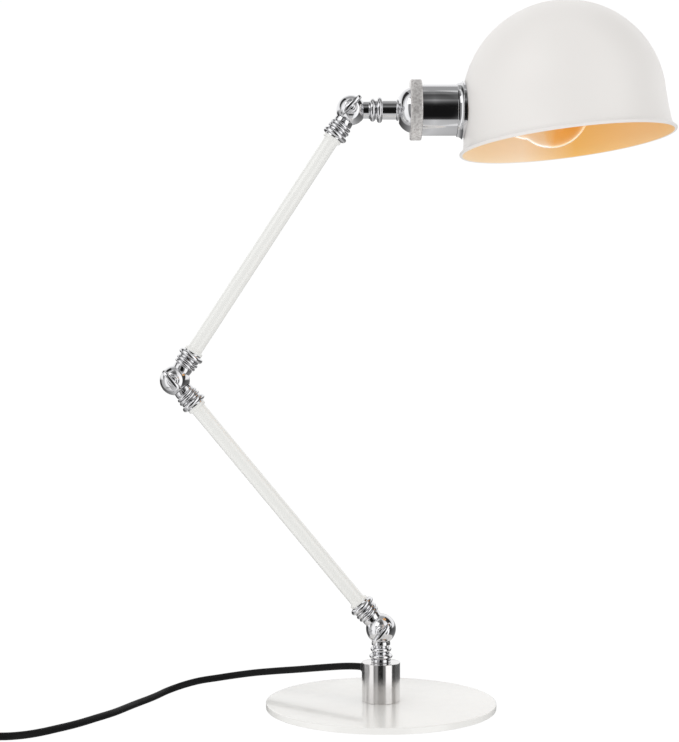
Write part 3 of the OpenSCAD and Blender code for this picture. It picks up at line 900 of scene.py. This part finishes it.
def make_switch_lid():
    bm = bmesh.new()
    stack(bm, [(stadium(29 - i, 13 - i), z) for i, z in (
        (0.45, 7.45), (0.45, 7.6), (0.12, 7.75), (0, 8), (0, 11), (0.25, 12.1), (0.9, 13), (1.9, 13.6),
        (3.2, 13.9), (4.6, 14))])
    lid = object_from("switch_lid_moulded", bm, [BLACK], SWITCH_AT)
    cut(lid, block("cutter", 10.5, 6.5, 9, 20, BLACK, SWITCH_AT))
    return lid


def make_rocker():
    """A rocker with a shallow dip across its top, its edges rounded."""
    side = [(-10, 11.8), (10, 11.8), (10, 15.9), (8.5, 16.5), (4, 16.15), (0, 15.7), (-4, 16.15),
            (-8.5, 16.5), (-10, 15.9)]
    bm = bmesh.new()
    near = [bm.verts.new((x * MM, -6 * MM, z * MM)) for x, z in side]
    far = [bm.verts.new((x * MM, 6 * MM, z * MM)) for x, z in side]
    skin(bm, near, far)
    bm.faces.new(near)
    bm.faces.new(far)
    bmesh.ops.recalc_face_normals(bm, faces=bm.faces)
    edges = [e for e in bm.edges if e.calc_face_angle(0) > 0.6]
    bmesh.ops.bevel(bm, geom=edges, offset=0.6 * MM, segments=3, profile=0.5, affect="EDGES")
    return object_from("switch_rocker_moulded", bm, [ROCKER], SWITCH_AT)


switch_case = finish_piece(make_switch_case(), "base", "switch_black", "switch_case")
switch_lid = finish_piece(make_switch_lid(), "base", "switch_black", "switch_lid")
rocker = finish_piece(make_rocker(), "rocker", "rocker_grey", "switch_rocker")

PLUG_AT = Matrix.Translation((TAIL_X * MM, 32 * MM, ON_CORD * MM)) @ Matrix.Rotation(math.radians(-90), 4, "X")
PLUG_RIBS = [(2.7, 0.3), (3.5, 0.3), *[
    point for k in range(5) for point in ((3.6 + 0.28 * k, 2.4 + 2.8 * k), (3.1 + 0.28 * k, 2.7 + 2.8 * k),
                                          (3.1 + 0.28 * k, 3.6 + 2.8 * k), (3.8 + 0.28 * k, 3.9 + 2.8 * k))
], (5.3, 19), (2.7, 19)]


def make_plug_body():
    """Flat two-pin plug: a ribbed sleeve that swells into a flat body with a grip waist."""
    bm = bmesh.new()
    turn_outline(bm, PLUG_RIBS, 48, closed=True)
    sections = [(5.2, 5.2, 1.0, 17.6), (5.9, 5.6, 0.98, 19), (8.2, 6.2, 0.85, 22), (10.6, 6.6, 0.7, 26),
                (11.4, 6.7, 0.6, 30), (11.0, 6.4, 0.55, 35), (11.2, 6.5, 0.55, 40), (12.2, 6.9, 0.55, 45),
                (12.5, 7.0, 0.55, 49), (12.5, 7.0, 0.55, 51.2), (12.1, 6.7, 0.55, 51.8), (11.4, 6.1, 0.55, 52)]
    stack(bm, [(squircle(w, h, power), z) for w, h, power, z in sections])
    return object_from("plug_moulded", bm, [BLACK], PLUG_AT)


PIN_OFF = 9.3
PIN_OUTLINE = [
    (0, 51.5), (1.95, 51.5), (1.95, 61.8), (1.8, 62), *soften([(2, 62.1), (2, 71), (0, 71)], 1.6, 6),
]


def make_pins():
    """Two pins, each sleeved in plastic over its root and round at its tip."""
    bm = bmesh.new()
    for side in (-1, 1):
        pin = bmesh.new()
        turn_outline(pin, PIN_OUTLINE, 32, faces_of=lambda step: 0 if step < 3 else 1)
        add_part(bm, pin, Matrix.Translation((side * PIN_OFF * MM, 0, 0)))
    return object_from("plug_pins_turned", bm, [BLACK, PIN_METAL], PLUG_AT)


plug = finish_piece(make_plug_body(), "base", "switch_black", "plug_body")
pins = finish_piece(make_pins(), "base", "pin_metal", "plug_pins")


def make_tie():
    """A flat strap round the coil, with its buckle on top."""
    inner, outer, low, high = 21.6, 39.0, 0.1, 16.9
    corner = [(outer - 2.5, low), (outer, low + 2.5), (outer, high - 2.5), (outer - 2.5, high),
              (inner + 2.5, high), (inner, high - 2.5), (inner, low + 2.5), (inner + 2.5, low)]
    loop = soften([corner[-1], *corner, corner[0]], 1.6, 4)[1:-1]
    centre = ((inner + outer) / 2, (low + high) / 2)
    bm = bmesh.new()
    rings = []
    for x, z in loop:
        out = Vector((x - centre[0], z - centre[1])).normalized() * 0.35
        rings.append([bm.verts.new(((x + d * out.x) * MM, y * MM, max(0.02, z + d * out.y) * MM))
                      for d, y in ((-1, -2.8), (1, -2.8), (1.3, 0), (1, 2.8), (-1, 2.8), (-0.8, 0))])
    for one, two in zip(rings, rings[1:] + rings[:1]):
        skin(bm, one, two)
    stack(bm, [([(x + 30, y) for x, y in squircle(4.2 - i, 3.9 - i, 0.5)], z)
               for i, z in ((0.3, 16.6), (0, 16.9), (0, 17.5), (0.4, 17.8), (0.9, 17.9))])
    return object_from("coil_tie_strap", bm, [TIE],
                       Matrix.Translation((COIL_AT[0] * MM, COIL_AT[1] * MM, 0))
                       @ Matrix.Rotation(math.radians(60), 4, "Z"))


tie = finish_piece(make_tie(), "base", "tie_grey", "cord_tie")

cord.data.materials.append(CORD_PVC)
finish_piece(cord, "base", "cord_sheath", "power_cord", "switch_tail", "plug_lead", "cord_coil")

# ---------- floor, light ----------

PAPER_WHITE = 1.02
FILL = 0.84
BEHIND_RISE = 0.12

floor_mesh = bpy.data.meshes.new("floor")
floor_mesh.from_pydata([(-8, -8, 0), (8, -8, 0), (8, 8, 0), (-8, 8, 0)], [], [(0, 1, 2, 3)])
floor = add_object("floor", floor_mesh)
floor_white = new_material("floor_white", srgb(0, 0, 0), 0.6, Emission_Color=(1, 1, 1, 1),
                           Emission_Strength=PAPER_WHITE)
shader_of(floor_white).inputs["Specular IOR Level"].default_value = 0
floor_mesh.materials.append(floor_white)
floor.visible_glossy = False


def add_area(name, at, target, size, power):
    """A soft rectangular light that faces a target."""
    light = bpy.data.lights.new(name, "AREA")
    light.shape = "RECTANGLE"
    light.size, light.size_y = size
    light.energy = power
    lamp = add_object(name, light)
    lamp.location = at
    lamp.rotation_euler = (Vector(target) - Vector(at)).to_track_quat("-Z", "Y").to_euler()


add_area("key", (-1.2, -1.6, 1.8), (0, 0, 0.3), (1.2, 1.2), 6)
add_area("top", (0, 0.4, 2.2), (0, 0, 0.2), (1.6, 1.6), 3)

world = bpy.data.worlds.new("studio")
bpy.context.scene.world = world
world.use_nodes = True


def world_background(nodes, strength):
    background = nodes.new("ShaderNodeBackground")
    background.inputs["Color"].default_value = (1, 1, 1, 1)
    background.inputs["Strength"].default_value = strength
    return background


def calculate(tree, operation, *values):
    node = tree.nodes.new("ShaderNodeMath")
    node.operation = operation
    node.use_clamp = operation == "DIVIDE"
    for socket, value in zip(node.inputs, values):
        if isinstance(value, (int, float)):
            socket.default_value = value
        else:
            tree.links.new(value, socket)
    return node.outputs[0]


def bands(tree, angle, stops):
    """Bands of grey by angle, given as (degrees, grey) with smooth steps between."""
    place = calculate(tree, "MULTIPLY_ADD", angle, 1 / (2 * math.pi), 0.5)
    ramp = tree.nodes.new("ShaderNodeValToRGB")
    ramp.color_ramp.interpolation = "EASE"
    elements = ramp.color_ramp.elements
    elements[0].position, elements[1].position = 0, 1
    for element, (_, grey) in zip(elements, (stops[0], stops[-1])):
        element.color = (grey, grey, grey, 1)
    for degrees, grey in stops[1:-1]:
        elements.new(degrees / 360 + 0.5).color = (grey, grey, grey, 1)
    tree.links.new(place, ramp.inputs["Fac"])
    return ramp.outputs["Color"]


ROUND_BANDS = [(-180, 0.05), (-124, 0.05), (-112, 0.5), (-84, 0.6), (-72, 1.2), (-50, 1.2), (-44, 0.2),
               (-30, 0.4), (-22, 0.35), (-16, 0.01), (9, 0.01), (14, 0.2), (25, 0.24), (30, 1.4), (64, 1.4),
               (70, 0.05), (112, 0.12), (180, 0.25)]
OVER_BANDS = [(-180, 0.66), (-56, 0.72), (-51, 0.06), (-38, 0.01), (8, 0.008), (16, 0.04), (24, 0.14),
              (34, 0.36), (42, 0.16), (60, 0.1), (72, 0.26), (84, 0.03), (116, 0.03), (128, 0.9), (150, 1.1),
              (180, 1.1)]


def studio_world():
    """Even white light, with dark and bright bands that only glossy surfaces see."""
    tree = world.node_tree
    nodes, links = tree.nodes, tree.links
    place = nodes.new("ShaderNodeTexCoord")
    split = nodes.new("ShaderNodeSeparateXYZ")
    links.new(place.outputs["Generated"], split.inputs["Vector"])
    x, y, z = split.outputs
    front = calculate(tree, "MULTIPLY", y, -1)
    around = bands(tree, calculate(tree, "ARCTAN2", x, front), ROUND_BANDS)
    over = bands(tree, calculate(tree, "ARCTAN2", z, front), OVER_BANDS)
    side, rise = calculate(tree, "ABSOLUTE", x), calculate(tree, "ABSOLUTE", z)
    share = calculate(tree, "POWER", calculate(tree, "DIVIDE", rise, calculate(tree, "ADD", side, rise)), 2.5)
    risen, is_behind = calculate(tree, "DIVIDE", z, BEHIND_RISE), calculate(tree, "GREATER_THAN", y, 0)
    behind = calculate(tree, "MULTIPLY", risen, is_behind)
    share = calculate(tree, "MAXIMUM", share, behind)
    blend = nodes.new("ShaderNodeMix")
    blend.data_type = "RGBA"
    links.new(share, blend.inputs["Factor"])
    links.new(around, blend.inputs["A"])
    links.new(over, blend.inputs["B"])
    glossy = world_background(nodes, 1.0)
    links.new(blend.outputs["Result"], glossy.inputs["Color"])
    path = nodes.new("ShaderNodeLightPath")
    result = world_background(nodes, FILL)
    for ray, other in (("Is Glossy Ray", glossy), ("Is Camera Ray", world_background(nodes, PAPER_WHITE))):
        mix = nodes.new("ShaderNodeMixShader")
        links.new(path.outputs[ray], mix.inputs["Fac"])
        links.new(result.outputs[0], mix.inputs[1])
        links.new(other.outputs[0], mix.inputs[2])
        result = mix
    links.new(result.outputs[0], nodes["World Output"].inputs["Surface"])


studio_world()
